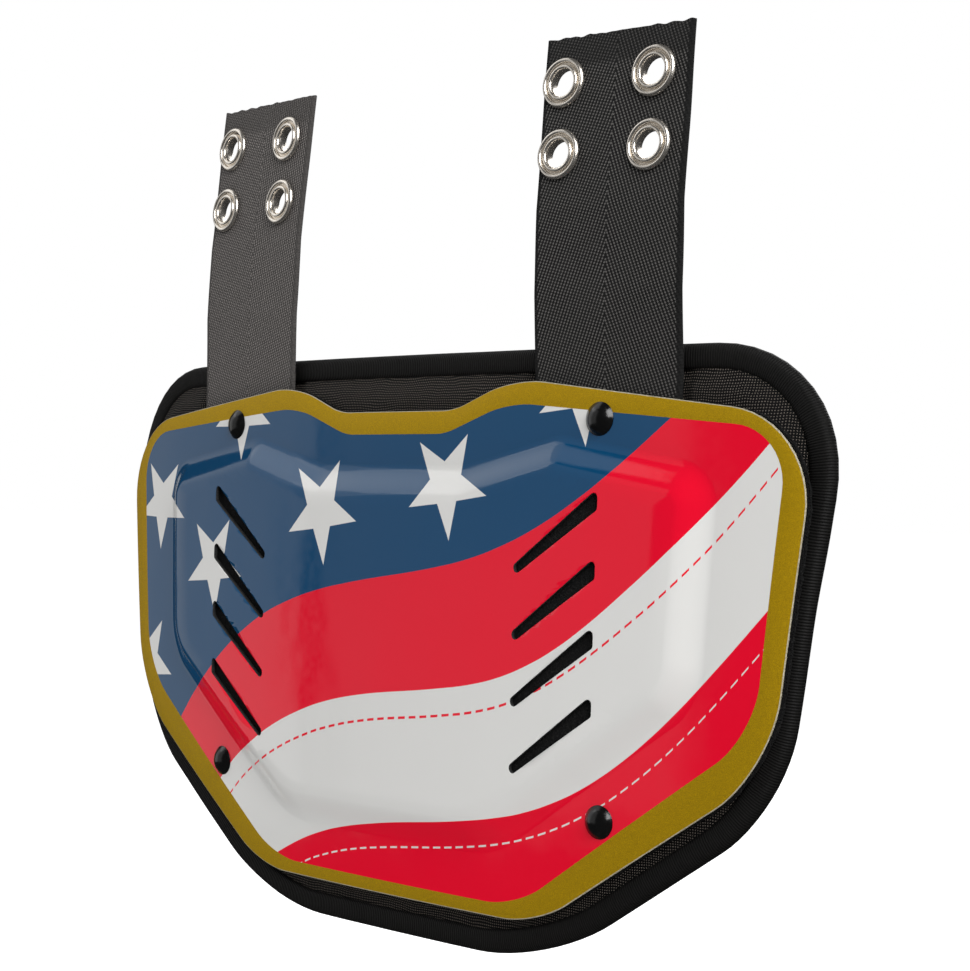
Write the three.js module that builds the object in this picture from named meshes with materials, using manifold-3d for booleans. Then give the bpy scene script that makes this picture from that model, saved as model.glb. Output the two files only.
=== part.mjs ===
// Back plate for shoulder pads: a moulded shell riveted through two hanging straps to a soft pad.
// Millimetres, +X to the right as the printed face is seen, +Z up, the printed face looks along -Y.
// The origin is the point that the straps hang from, midway between their two eyelet patterns.
// Every layer follows one curved sheet, whose depth behind its middle grows towards the edges.
import * as THREE from 'three';
import { mergeVertices } from 'three/addons/utils/BufferGeometryUtils.js';
import Module from 'manifold-3d';

const wasm = await Module();
wasm.setup();

// The curved sheet that every layer follows
const sweepDepth = 11.3;        // how far the plate's sides lie behind its middle
const bowDepth = 1.5;           // how far its lower edge lies behind its middle

// The plate's outline, measured from the middle of its face
const plateHalfWidth = 145.3;
const plateTopReach = 63;       // up to the dip in the middle of the upper edge
const crestRise = 9;            // the two crests above that dip
const plateLowReach = 83;
const plateCornerRadius = 26;
const plateThickness = 1.4;
const plateEdgeRound = 0.4;

// The raised panel inside the plate's flange
const sideFlange = 26.5;        // outer edge to the foot of the step
const topFlange = 15.6;
const lowFlange = 17;
const stepWidth = 7.5;
const panelRise = 4.7;
const panelCornerRadius = 14;

// The foam sheet behind the plate, which fills the hollow of the panel
const foamThickness = 0.8;      // behind the flange
const foamInset = 0.5;

// The pad and the tape bound round its edge
const padHalfWidth = 150.5;
const padTopReach = 80.8;
const padLowReach = 95.4;
const padCornerRadius = 37;
const padThickness = 9.5;
const padShoulder = 6.5;        // from the tape's lips to the pad's full thickness
const tapeWidth = 6.4;
const tapeRoll = 4.8;           // thickness of the bound edge
const tapeWall = 1;

// The two webbing straps
const strapWidth = 50.8;
const strapThickness = 1.6;
const strapPlace = 0.5423;      // middle of a strap as it leaves the plate, share of the half width
const leftStrapTop = 166;
const rightStrapTop = 169;
const strapLeanBack = 4.5;      // how far the upper ends lean behind the plate
const strapLeanIn = 2.4;        // and towards each other
const strapTail = 14;           // hidden length below the upper rivets

// Eyelets, four in each strap
const eyeletAcross = 31.2;
const eyeletDown = 20.5;
const eyeletToEnd = 13;         // strap end to the upper pair
const eyeletShift = 2.4;        // both patterns sit this far to the left of their strap's middle
const eyeletFlangeRadius = 7.3;
const eyeletHoleRadius = 4.1;
const eyeletWall = 0.7;
const eyeletRollHeight = 1.5;

// Slots, four on each side of the panel
const slotCount = 4;
const slotPitch = 18.95;
const slotInner = 0.3806;       // inner and outer ends, shares of the plate's half width
const slotOuter = 0.5795;
const slotClimb = 20.8;         // the outer end's middle above the inner end's
const slotTopZ = 38;            // middle of the top slot's outer end
const slotInnerHeight = 3.4;
const slotOuterHeight = 6.1;
const slotCornerRadius = 1.3;

// Rivets
const upperRivet = 0.5506;      // place across, share of the plate's half width
const upperRivetZ = 60.2;
const lowerRivet = 0.5754;
const lowerRivetZ = -51.3;
const rivetHeadRadius = 4.8;
const rivetDomeHeight = 2.3;
const rivetShankRadius = 2.2;
const rivetWasherRadius = 6;
const rivetWasherHeight = 1;

const gap = 0.3;                // between neighbouring pieces
const drillReach = 50;          // cutters run this far through every layer

// Mesh fineness
const straightShare = 0.48;     // most of a straight that one corner's rounding may take
const arcSteps = 3;
const slotArcSteps = 2;
const facetLength = 26;
const roundSides = 12;
const eyeletSides = 10;
const innerRings = [0.7, 0.35];

// Where each layer starts behind the plate's face
const foamFront = plateThickness + gap;
const foamBack = foamFront + foamThickness;
const strapFront = foamBack + gap;
const strapBack = strapFront + strapThickness;
const padFront = foamBack + gap;
const padBack = padFront + padThickness;
const tapeMiddle = padFront + tapeRoll / 2;
const tongueHalf = tapeRoll / 2 - tapeWall - gap;

// Heights that several pieces share
const strapRoot = plateTopReach + crestRise;
const strapMiddle = strapPlace * plateHalfWidth;
const meanStrapTop = (leftStrapTop + rightStrapTop) / 2;
const hangHeight = meanStrapTop - eyeletToEnd - eyeletDown / 2;

// Depth of the curved sheet behind the middle of the plate's face
function sheetDepth(x, z) {
  return sweepDepth * (x / plateHalfWidth) ** 2 + bowDepth * (z / plateLowReach) ** 2;
}

function sheetNormal(x, z) {
  const slopeX = 2 * sweepDepth * x / plateHalfWidth ** 2;
  const slopeZ = 2 * bowDepth * z / plateLowReach ** 2;
  return new THREE.Vector3(slopeX, -1, slopeZ).normalize();
}

// Corners of the right half of each outline from the top down, as shares of that outline's sizes:
// across of the half width, up of the reach above the middle (below it when negative),
// crest of the crests' rise, round of the corner radius
const plateCorners = [
  { across: 0.174, up: 1, crest: 0, round: 0.9 },
  { across: 0.333, up: 1, crest: 1, round: 1.7 },
  { across: 1.016, up: 0.951, crest: 0, round: 1 },
  { across: 0.944, up: -0.391, crest: 0, round: 1.65 },
  { across: 0.424, up: -1, crest: 0, round: 1.6 },
];
const panelCorners = [
  { across: 0.26, up: 1, crest: 0, round: 1 },
  { across: 0.563, up: 1, crest: 1, round: 1 },
  { across: 1.008, up: 1, crest: 0, round: 0.9 },
  { across: 0.98, up: -0.258, crest: 0, round: 1.6 },
  { across: 0.387, up: -1, crest: 0, round: 2 },
];
const padCorners = [
  { across: 1.027, up: 1, crest: 0, round: 1 },
  { across: 0.919, up: -0.452, crest: 0, round: 1.38 },
  { across: 0.411, up: -1, crest: 0, round: 2.3 },
];

function heading(from, to) {
  return new THREE.Vector2(to.x - from.x, to.z - from.z);
}

// The straight after each corner takes as many facets as the same straight of a like outline
function symmetricCorners(table, sizes, like) {
  const half = table.map((row) => ({
    x: row.across * sizes.halfWidth,
    z: row.up * (row.up > 0 ? sizes.top : sizes.low) + row.crest * crestRise,
    radius: row.round * sizes.radius,
  }));
  const whole = [...half, ...half.map((corner) => ({ ...corner, x: -corner.x })).reverse()];
  return whole.map((corner, i) => {
    const length = heading(corner, whole[(i + 1) % whole.length]).length();
    return { ...corner, facets: like ? like[i].facets : Math.max(1, Math.round(length / facetLength)) };
  });
}

const plateOutline = symmetricCorners(plateCorners, {
  halfWidth: plateHalfWidth, top: plateTopReach, low: plateLowReach, radius: plateCornerRadius,
});
const stepFootOutline = symmetricCorners(panelCorners, {
  halfWidth: plateHalfWidth - sideFlange,
  top: plateTopReach - topFlange,
  low: plateLowReach - lowFlange,
  radius: panelCornerRadius,
}, plateOutline);
const padOutline = symmetricCorners(padCorners, {
  halfWidth: padHalfWidth, top: padTopReach, low: padLowReach, radius: padCornerRadius,
});

// A clockwise outline with rounded corners, moved inwards by an inset. Every inset of one
// outline has as many points, in the same order, so that two of them can be joined by a strip.
function roundedOutline(corners, inset = 0, steps = arcSteps) {
  const count = corners.length;
  const moved = corners.map((corner, i) => {
    const arriving = heading(corners[(i + count - 1) % count], corner).normalize();
    const leaving = heading(corner, corners[(i + 1) % count]).normalize();
    const share = inset / (1 + arriving.dot(leaving));
    const hollow = arriving.cross(leaving) > 0;
    return {
      x: corner.x + (arriving.y + leaving.y) * share,
      z: corner.z - (arriving.x + leaving.x) * share,
      radius: hollow ? corner.radius + inset : Math.max(corner.radius - inset, gap),
      arriving,
      leaving,
      turn: Math.acos(THREE.MathUtils.clamp(arriving.dot(leaving), -1, 1)),
      side: hollow ? -1 : 1,
    };
  });
  const points = [];
  moved.forEach((corner, i) => {
    const before = heading(moved[(i + count - 1) % count], corner).length();
    const next = moved[(i + 1) % count];
    const after = heading(corner, next).length();
    const wanted = corner.radius * Math.tan(corner.turn / 2);
    const reach = Math.min(wanted, straightShare * before, straightShare * after);
    const radius = reach / Math.tan(corner.turn / 2);
    const startX = corner.x - corner.arriving.x * reach;
    const startZ = corner.z - corner.arriving.y * reach;
    const centreX = startX + corner.arriving.y * radius * corner.side;
    const centreZ = startZ - corner.arriving.x * radius * corner.side;
    for (let step = 0; step <= steps; step += 1) {
      const spoke = new THREE.Vector2(startX - centreX, startZ - centreZ);
      spoke.rotateAround(new THREE.Vector2(), -corner.side * corner.turn * step / steps);
      points.push(new THREE.Vector2(centreX + spoke.x, centreZ + spoke.y));
    }
    const nextReach = next.radius * Math.tan(next.turn / 2);
    const nextAfter = heading(next, moved[(i + 2) % count]).length();
    const limited = Math.min(nextReach, straightShare * after, straightShare * nextAfter);
    const start = points[points.length - 1].clone();
    const end = new THREE.Vector2(next.x - corner.leaving.x * limited, next.z - corner.leaving.y * limited);
    for (let facet = 1; facet < corners[i].facets; facet += 1) {
      points.push(start.clone().lerp(end, facet / corners[i].facets));
    }
  });
  return points;
}

function scaled(outline, share) {
  return outline.map((point) => point.clone().multiplyScalar(share));
}

// The pad's rim is set back where the straps cross it, and closes up to the plate lower down
function rimSetback(z) {
  return (strapBack + gap - padFront) * THREE.MathUtils.smoothstep(z, 0, strapRoot);
}

// A ring of points on the sheet, moved behind the plate's face by an offset. A ring of the
// pad's rim also takes a share of the setback.
function ringOnSheet(outline, offset, rimShare = 0) {
  return outline.map(({ x, y: z }) => new THREE.Vector3(
    x, sheetDepth(x, z) + offset + rimShare * rimSetback(z), z));
}

function volumeOf(positions, indices) {
  const corners = [0, 1, 2].map(() => new THREE.Vector3());
  let volume = 0;
  for (let i = 0; i < indices.length; i += 3) {
    corners.forEach((corner, k) => corner.copy(positions[indices[i + k]]));
    volume += corners[0].dot(corners[1].cross(corners[2]));
  }
  return volume;
}

function closedGeometry(positions, indices) {
  const outward = volumeOf(positions, indices) > 0;
  const geometry = new THREE.BufferGeometry();
  geometry.setFromPoints(positions);
  geometry.setIndex(outward ? indices : [...indices].reverse());
  return geometry;
}

// A strip of triangles between two rings of equal length
function strip(indices, first, second, count) {
  for (let i = 0; i < count; i += 1) {
    const j = (i + 1) % count;
    indices.push(first + i, second + i, second + j, first + i, second + j, first + j);
  }
}

// A body skinned over a row of rings, closed at both ends by fans round a middle point
function skinnedBody(rings, startPoint, endPoint) {
  const count = rings[0].length;
  const positions = [...rings.flat(), startPoint, endPoint];
  const indices = [];
  const start = rings.length * count;
  const last = (rings.length - 1) * count;
  for (let i = 0; i < count; i += 1) {
    const j = (i + 1) % count;
    indices.push(start, i, j, start + 1, last + j, last + i);
  }
  for (let ring = 0; ring + 1 < rings.length; ring += 1) {
    strip(indices, ring * count, (ring + 1) * count, count);
  }
  return closedGeometry(positions, indices);
}

// A hoop: the rings join up with the first again, as a tyre's do
function skinnedHoop(rings) {
  const count = rings[0].length;
  const indices = [];
  rings.forEach((_, ring) => {
    strip(indices, ring * count, ((ring + 1) % rings.length) * count, count);
  });
  return closedGeometry(rings.flat(), indices);
}

// Both faces of a layer that narrows to its middle: rings from the front middle out to the edge,
// then from the edge back to the rear middle
function layerBody(frontRows, edgeRows, backRows, middleFront, middleBack) {
  const rows = [...frontRows, ...edgeRows, ...backRows];
  const rings = rows.map((row) => ringOnSheet(row.outline, row.offset, row.rimShare));
  return skinnedBody(rings, new THREE.Vector3(0, middleFront, 0), new THREE.Vector3(0, middleBack, 0));
}

function toSolid(geometry) {
  const bare = geometry.clone();
  bare.deleteAttribute('normal');
  bare.deleteAttribute('uv');
  const merged = mergeVertices(bare);
  const mesh = new wasm.Mesh({
    numProp: 3,
    vertProperties: new Float32Array(merged.attributes.position.array),
    triVerts: new Uint32Array(merged.index.array),
  });
  return new wasm.Manifold(mesh);
}

function toGeometry(solid) {
  const mesh = solid.getMesh();
  const geometry = new THREE.BufferGeometry();
  geometry.setAttribute('position', new THREE.BufferAttribute(mesh.vertProperties, mesh.numProp));
  geometry.setIndex(new THREE.BufferAttribute(mesh.triVerts, 1));
  return geometry;
}

function cutAway(geometry, cutters) {
  const solid = cutters.reduce((rest, cutter) => rest.subtract(toSolid(cutter)), toSolid(geometry));
  return toGeometry(solid);
}

// Turns a geometry made along +Y so that its axis follows a direction through a point
function aimed(geometry, point, direction) {
  const turn = new THREE.Quaternion().setFromUnitVectors(new THREE.Vector3(0, 1, 0), direction);
  const matrix = new THREE.Matrix4().compose(point, turn, new THREE.Vector3(1, 1, 1));
  return geometry.clone().applyMatrix4(matrix);
}

// Rivet seats: a point on the plate's face and the way its head looks
const rivetSeats = [
  { name: 'upper_left', x: -upperRivet * plateHalfWidth, z: upperRivetZ },
  { name: 'upper_right', x: upperRivet * plateHalfWidth, z: upperRivetZ },
  { name: 'lower_left', x: -lowerRivet * plateHalfWidth, z: lowerRivetZ },
  { name: 'lower_right', x: lowerRivet * plateHalfWidth, z: lowerRivetZ },
].map((seat) => ({
  ...seat,
  point: new THREE.Vector3(seat.x, sheetDepth(seat.x, seat.z), seat.z),
  normal: sheetNormal(seat.x, seat.z),
}));

function rivetHoles() {
  const radius = rivetShankRadius + gap;
  const drill = new THREE.CylinderGeometry(radius, radius, drillReach, roundSides);
  return rivetSeats.map((seat) => aimed(drill, seat.point, seat.normal));
}

// The slots' cutters run along Y through the panel and the foam
function slotCutters() {
  const cutters = [];
  for (let row = 0; row < slotCount; row += 1) {
    const outerZ = slotTopZ - row * slotPitch;
    const innerZ = outerZ - slotClimb;
    const corners = [
      { x: slotInner * plateHalfWidth, z: innerZ + slotInnerHeight / 2 },
      { x: slotOuter * plateHalfWidth, z: outerZ + slotOuterHeight / 2 },
      { x: slotOuter * plateHalfWidth, z: outerZ - slotOuterHeight / 2 },
      { x: slotInner * plateHalfWidth, z: innerZ - slotInnerHeight / 2 },
    ].map((corner) => ({ ...corner, radius: slotCornerRadius, facets: 1 }));
    const outline = roundedOutline(corners, 0, slotArcSteps);
    [1, -1].forEach((side) => {
      const shape = new THREE.Shape(outline.map((point) => new THREE.Vector2(side * point.x, point.y)));
      const prism = new THREE.ExtrudeGeometry(shape, { depth: drillReach, bevelEnabled: false });
      prism.rotateX(Math.PI / 2);
      prism.translate(0, drillReach / 2, 0);
      cutters.push(prism);
    });
  }
  return cutters;
}

const stepFoot = roundedOutline(stepFootOutline);
const stepTop = roundedOutline(stepFootOutline, stepWidth);
const stepBelow = roundedOutline(stepFootOutline, plateThickness / 2);
const stepBelowTop = roundedOutline(stepFootOutline, stepWidth + plateThickness / 2);

// Rings over the raised panel, from its middle out to the foot of the step
function panelRows(foot, top, offset) {
  const inner = [...innerRings].reverse().map((share) => ({
    outline: scaled(top, share), offset: offset - panelRise,
  }));
  return [...inner, { outline: top, offset: offset - panelRise }, { outline: foot, offset }];
}

function plateGeometry() {
  const rim = roundedOutline(plateOutline);
  const rimFront = roundedOutline(plateOutline, plateEdgeRound);
  const front = [...panelRows(stepFoot, stepTop, 0), { outline: rimFront, offset: 0 }];
  const edge = [
    { outline: rim, offset: plateEdgeRound },
    { outline: rim, offset: plateThickness },
  ];
  const back = panelRows(stepBelow, stepBelowTop, plateThickness).reverse();
  const shell = layerBody(front, edge, back, -panelRise, plateThickness - panelRise);
  return cutAway(shell, [...slotCutters(), ...rivetHoles()]);
}

function foamGeometry() {
  const rim = roundedOutline(plateOutline, foamInset);
  const footRing = roundedOutline(stepFootOutline, plateThickness / 2 + gap);
  const topRing = roundedOutline(stepFootOutline, stepWidth + plateThickness / 2 + gap);
  const front = panelRows(footRing, topRing, foamFront);
  const edge = [
    { outline: rim, offset: foamFront },
    { outline: rim, offset: foamBack },
  ];
  const back = [
    { outline: footRing, offset: foamBack },
    ...innerRings.map((share) => ({ outline: scaled(topRing, share), offset: foamBack })),
  ];
  const sheet = layerBody(front, edge, back, foamFront - panelRise, foamBack);
  return cutAway(sheet, [...slotCutters(), ...rivetHoles()]);
}

// The pad's section inwards from its rim: how far in, and the share of its swell reached there
const padSwell = [
  { inward: 0, swell: 0 },
  { inward: 0.35, swell: 0.55 },
  { inward: 1, swell: 1 },
];

function padGeometry() {
  const tongueRim = tapeWall + gap;
  const lips = tapeWidth + gap;
  const rows = padSwell.map((row) => ({
    outline: roundedOutline(padOutline, lips + row.inward * padShoulder),
    front: THREE.MathUtils.lerp(tapeMiddle - tongueHalf, padFront, row.swell),
    back: THREE.MathUtils.lerp(tapeMiddle + tongueHalf, padBack, row.swell),
    rimShare: 1 - row.swell,
  }));
  const full = rows[rows.length - 1].outline;
  innerRings.forEach((share) => {
    rows.push({ outline: scaled(full, share), front: padFront, back: padBack, rimShare: 0 });
  });
  const rim = roundedOutline(padOutline, tongueRim);
  const front = [...rows].reverse().map((row) => ({ ...row, offset: row.front }));
  const back = rows.map((row) => ({ ...row, offset: row.back }));
  const edge = [
    { outline: rim, offset: tapeMiddle - tongueHalf, rimShare: 1 },
    { outline: rim, offset: tapeMiddle + tongueHalf, rimShare: 1 },
  ];
  const cushion = layerBody(front, edge, back, padFront, padBack);
  const channels = [-1, 1].map((side) => strapGeometry(side, padTopReach, gap));
  return cutAway(cushion, [...channels, ...rivetHoles()]);
}

// The tape's section: how far in from the pad's rim, and the share of the roll's half thickness
const tapeSection = [
  { inward: 1, across: -0.88 },
  { inward: 0.8, across: -1 },
  { inward: 0.35, across: -0.98 },
  { inward: 0.08, across: -0.65 },
  { inward: 0, across: 0 },
  { inward: 0.08, across: 0.65 },
  { inward: 0.35, across: 0.98 },
  { inward: 0.8, across: 1 },
  { inward: 1, across: 0.88 },
];

function tapeGeometry() {
  const outside = tapeSection.map((row) => ({
    inset: row.inward * tapeWidth,
    offset: tapeMiddle + row.across * tapeRoll / 2,
  }));
  const slotHalf = tongueHalf + gap;
  const inside = [
    { inset: tapeWidth, offset: tapeMiddle + slotHalf },
    { inset: tapeWall, offset: tapeMiddle + slotHalf },
    { inset: tapeWall, offset: tapeMiddle - slotHalf },
    { inset: tapeWidth, offset: tapeMiddle - slotHalf },
  ];
  const rings = [...outside, ...inside].map((row) => (
    ringOnSheet(roundedOutline(padOutline, row.inset), row.offset, 1)));
  return skinnedHoop(rings);
}

// How a strap leans above the plate: the share of its free height, and of its lean
const strapLean = [
  { up: 0, back: 0 },
  { up: 0.25, back: -0.12 },
  { up: 0.5, back: 0 },
  { up: 1, back: 1 },
];

function leanAt(up) {
  const above = strapLean.findIndex((row) => row.up >= up);
  if (above <= 0) return above === 0 ? strapLean[0].back : 1;
  const low = strapLean[above - 1];
  const high = strapLean[above];
  return THREE.MathUtils.mapLinear(up, low.up, high.up, low.back, high.back);
}

// The middle of a strap's front face at a height, and the slope across it
function strapPoint(side, across, z) {
  const up = Math.max(0, (z - strapRoot) / (meanStrapTop - strapRoot));
  const middle = strapMiddle - up * strapLeanIn;
  const slope = 2 * sweepDepth * strapMiddle / plateHalfWidth ** 2;
  const hollow = sweepDepth * (across / plateHalfWidth) ** 2 * Math.max(0, 1 - up / strapLean[1].up);
  const root = sheetDepth(strapMiddle, Math.min(z, strapRoot));
  const depth = root + slope * across + hollow + leanAt(up) * strapLeanBack + strapFront;
  return new THREE.Vector3(side * (middle + across), depth, z);
}

// A strap from its hidden tail up to a height. With a margin it becomes the channel that the
// strap lies in, larger all round by that margin and open to the front.
function strapGeometry(side, topZ, margin = 0) {
  const half = strapWidth / 2 + margin;
  const tailZ = upperRivetZ - strapTail - margin;
  const leanZ = strapLean.map((row) => strapRoot + row.up * (meanStrapTop - strapRoot));
  const stations = [tailZ, (tailZ + strapRoot) / 2, ...leanZ.filter((z) => z < topZ - gap), topZ];
  const acrossShares = [-1, -0.5, 0, 0.5, 1];
  const frontShift = margin > 0 ? -(foamBack + padThickness) : 0;
  const rings = stations.map((z) => {
    const front = acrossShares.map((share) => {
      const point = strapPoint(side, share * half, z);
      return point.setY(point.y + frontShift);
    });
    const back = acrossShares.map((share) => {
      const point = strapPoint(side, share * half, z);
      return point.setY(point.y + strapThickness + margin);
    });
    return [...front, ...back.reverse()];
  });
  const ends = [rings[0], rings[rings.length - 1]].map((ring) => (
    ring.reduce((sum, point) => sum.add(point), new THREE.Vector3()).divideScalar(ring.length)));
  return skinnedBody(rings, ends[0], ends[1]);
}

const straps = [
  { name: 'left', side: -1, top: leftStrapTop },
  { name: 'right', side: 1, top: rightStrapTop },
];

// Eyelet seats on a strap's front face, row by row
function eyeletSeats(strap) {
  const seats = [];
  ['upper', 'lower'].forEach((level, row) => {
    ['left', 'right'].forEach((place, column) => {
      const z = strap.top - eyeletToEnd - row * eyeletDown;
      const alongX = (column - 0.5) * eyeletAcross - eyeletShift;
      const across = strap.side * alongX;
      const point = strapPoint(strap.side, across, z);
      const beside = strapPoint(strap.side, across + 1, z).sub(point);
      const above = strapPoint(strap.side, across, z + 1).sub(point);
      const normal = beside.cross(above).normalize();
      seats.push({
        name: `${level}_${place}`, point, normal: normal.y < 0 ? normal : normal.negate(),
      });
    });
  });
  return seats;
}

function strapWithHoles(strap) {
  const barrel = eyeletHoleRadius + eyeletWall + gap;
  const drill = new THREE.CylinderGeometry(barrel, barrel, drillReach, roundSides);
  const holes = eyeletSeats(strap).map((seat) => aimed(drill, seat.point, seat.normal));
  return cutAway(strapGeometry(strap.side, strap.top), [...holes, ...rivetHoles()]);
}

// A solid turned round +Y from [radius, height] rows listed from the front backwards. Its seam
// and poles are merged, so that the mesh is closed.
function turned(rows, sides) {
  const profile = rows.map(([radius, height]) => new THREE.Vector2(radius, height)).reverse();
  return toGeometry(toSolid(new THREE.LatheGeometry(profile, sides)));
}

// A rolled eyelet's section, front to back: out from the hole as a share of the flange's width,
// and rise as a share of the roll's height, above the strap in front and behind it at the back
const eyeletFace = [
  { out: 0, rise: 0 },
  { out: 0.13, rise: 0.75 },
  { out: 0.37, rise: 0.4 },
  { out: 0.7, rise: 1 },
  { out: 1, rise: 0.4 },
  { out: 0.89, rise: 0 },
];
const eyeletBack = [
  { out: 0.78, rise: 0 },
  { out: 0.13, rise: 0.65 },
  { out: 0, rise: 0 },
];

// An eyelet along +Y: flange in front, barrel through the strap, turned washer behind
function eyeletGeometry() {
  const width = eyeletFlangeRadius - eyeletHoleRadius;
  const barrel = eyeletHoleRadius + eyeletWall;
  const behind = -strapThickness - gap;
  const face = eyeletFace.map((row) => (
    [eyeletHoleRadius + row.out * width, gap + row.rise * eyeletRollHeight]));
  const back = eyeletBack.map((row) => (
    [eyeletHoleRadius + row.out * width, behind - row.rise * eyeletRollHeight]));
  return turned([...face, [barrel, gap], [barrel, behind], ...back, face[0]], eyeletSides);
}

// A rivet's domed head, front to back: shares of its radius and of the dome's height
const rivetHead = [
  { radius: 0, rise: 1 },
  { radius: 0.45, rise: 0.88 },
  { radius: 0.8, rise: 0.5 },
  { radius: 1, rise: 0.12 },
  { radius: 1, rise: 0 },
];
// The flat washer at its other end: shares of the washer's radius and height
const rivetWasher = [
  { radius: 1, drop: 0 },
  { radius: 1, drop: 0.6 },
  { radius: 0.8, drop: 1 },
  { radius: 0, drop: 1 },
];

// A rivet along +Y from the plate's face, its washer behind the pad
function rivetGeometry() {
  const behind = -(padBack + gap);
  const head = rivetHead.map((row) => (
    [row.radius * rivetHeadRadius, gap + row.rise * rivetDomeHeight]));
  const washer = rivetWasher.map((row) => (
    [row.radius * rivetWasherRadius, behind - row.drop * rivetWasherHeight]));
  return turned([...head, [rivetShankRadius, gap], [rivetShankRadius, behind], ...washer], roundSides);
}

const materials = {
  print: new THREE.MeshStandardMaterial({ color: 0xc22f3d, roughness: 0.25, flatShading: true }),
  foam: new THREE.MeshStandardMaterial({ color: 0x141414, roughness: 0.95, flatShading: true }),
  mesh: new THREE.MeshStandardMaterial({ color: 0x1d1c1d, roughness: 0.9, flatShading: true }),
  tape: new THREE.MeshStandardMaterial({ color: 0x161616, roughness: 0.8, flatShading: true }),
  webbing: new THREE.MeshStandardMaterial({ color: 0x2e2d2c, roughness: 0.6, flatShading: true }),
  nickel: new THREE.MeshStandardMaterial({
    color: 0xb9b2a9, roughness: 0.25, metalness: 1, flatShading: true,
  }),
  rivet: new THREE.MeshStandardMaterial({ color: 0x0c0c0c, roughness: 0.2, flatShading: true }),
};

const backPlate = new THREE.Group();
backPlate.position.set(0, -(strapPoint(1, 0, hangHeight).y + strapThickness / 2), -hangHeight);

function addPiece(name, geometry, material) {
  const piece = new THREE.Mesh(geometry, material);
  piece.name = name;
  backPlate.add(piece);
  return piece;
}

addPiece('plate', plateGeometry(), materials.print);
addPiece('plate_foam', foamGeometry(), materials.foam);
addPiece('back_pad', padGeometry(), materials.mesh);
addPiece('edge_tape', tapeGeometry(), materials.tape);
straps.forEach((strap) => {
  addPiece(`strap_${strap.name}`, strapWithHoles(strap), materials.webbing);
  eyeletSeats(strap).forEach((seat) => {
    const ring = aimed(eyeletGeometry(), seat.point, seat.normal);
    addPiece(`eyelet_${strap.name}_${seat.name}`, ring, materials.nickel);
  });
});
rivetSeats.forEach((seat) => {
  const rivet = aimed(rivetGeometry(), seat.point, seat.normal);
  addPiece(`rivet_${seat.name}`, rivet, materials.rivet);
});

export default backPlate;
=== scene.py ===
# Back plate for shoulder pads: printed shell, foam sheet, bound mesh pad and two webbing straps.
# Shapes are worked out in millimetres in the shell's own frame, and placed in metres at the end.
import math

import bmesh
import bpy
from mathutils import Matrix, Vector, noise


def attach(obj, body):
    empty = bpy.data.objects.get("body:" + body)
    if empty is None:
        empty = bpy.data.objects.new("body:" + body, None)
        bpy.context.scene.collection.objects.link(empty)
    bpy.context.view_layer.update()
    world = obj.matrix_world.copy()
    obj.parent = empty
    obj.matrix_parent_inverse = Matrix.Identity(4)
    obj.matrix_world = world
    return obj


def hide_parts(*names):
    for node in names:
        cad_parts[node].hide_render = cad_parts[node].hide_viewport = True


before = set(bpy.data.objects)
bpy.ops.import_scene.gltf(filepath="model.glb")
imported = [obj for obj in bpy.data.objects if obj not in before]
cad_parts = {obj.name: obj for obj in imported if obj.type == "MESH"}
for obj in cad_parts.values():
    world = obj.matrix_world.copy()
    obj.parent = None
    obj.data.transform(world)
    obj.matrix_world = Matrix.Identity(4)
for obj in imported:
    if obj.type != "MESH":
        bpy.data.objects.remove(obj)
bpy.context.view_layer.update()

MM = 0.001
HANG_Y = 10.361
HANG_Z = 144.25

# The curved sheet that every layer follows
SWEEP_DEPTH = 11.3
BOW_DEPTH = 1.5

# Shell, panel and foam
SHELL_HALF_WIDTH = 145.3
SHELL_TOP = 63
SHELL_LOW = 83
CREST_RISE = 9
SHELL_WALL = 1.3
SHELL_ROUNDING = 0.3
STEP_WIDTH = 9.8
STEP_LIP = 0.6
STEP_RINGS = 8
FOAM_STEP_RINGS = 3
PANEL_RISE = 4.7
PANEL_MIDDLE_Z = -8
FOAM_FRONT = 1.7
FOAM_BACK = 2.5
FOAM_SLOT_SHRINK = 0.25

# Pad and binding
PAD_TOP = 80.8
PAD_LOW = 95.4
PAD_FRONT = 2.8
PAD_THICKNESS = 9.5
PAD_SHOULDER = 7.0
TAPE_WIDTH = 7.2
TAPE_ROLL = 4.8
TAPE_MIDDLE = PAD_FRONT + TAPE_ROLL / 2
PAD_BLANK_INSET = 3
RIM_SETBACK = 1.9
SEAM_GROOVE = 0.5
PUFF_CAP = 1.6
CLOTH_CELL = 4
CLOTH_FRAMES = 20

# Straps and eyelets
STRAP_WIDTH = 50.8
STRAP_THICKNESS = 1.6
STRAP_FRONT = 2.8
STRAP_MIDDLE = 78.8
STRAP_TOPS = {"left": 166, "right": 169}
STRAP_ROOT = 72
MEAN_STRAP_TOP = 167.5
STRAP_LEAN_BACK = 4.5
STRAP_LEAN_IN = 2.4
STRAP_TAIL_Z = 46.2
STRAP_ROUNDING = 0.7
STRAP_DENT = 2.3
EYELET_ACROSS = 31.2
EYELET_DOWN = 20.5
EYELET_TO_END = 13
EYELET_SHIFT = 2.4
EYELET_CUT_RADIUS = 5.0

# Rivets: across, height
RIVETS = {"upper": (80, 60.2), "lower": (83.6, -51.3)}

# Slots
SLOT_PITCH = 18.95
SLOT_INNER_X = 55.3
SLOT_OUTER_X = 84.2
SLOT_TOP_Z = 38
SLOT_CLIMB = 20.8
SLOT_INNER_HEIGHT = 3.4
SLOT_OUTER_HEIGHT = 6.1
SLOT_CORNER_RADIUS = 1.3
SLOT_ROWS = 4
SLOT_ARC_STEPS = 4


def behind(x, z):
    """How far the curved sheet lies behind the middle of the shell's face."""
    return SWEEP_DEPTH * (x / SHELL_HALF_WIDTH) ** 2 + BOW_DEPTH * (z / SHELL_LOW) ** 2


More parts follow.
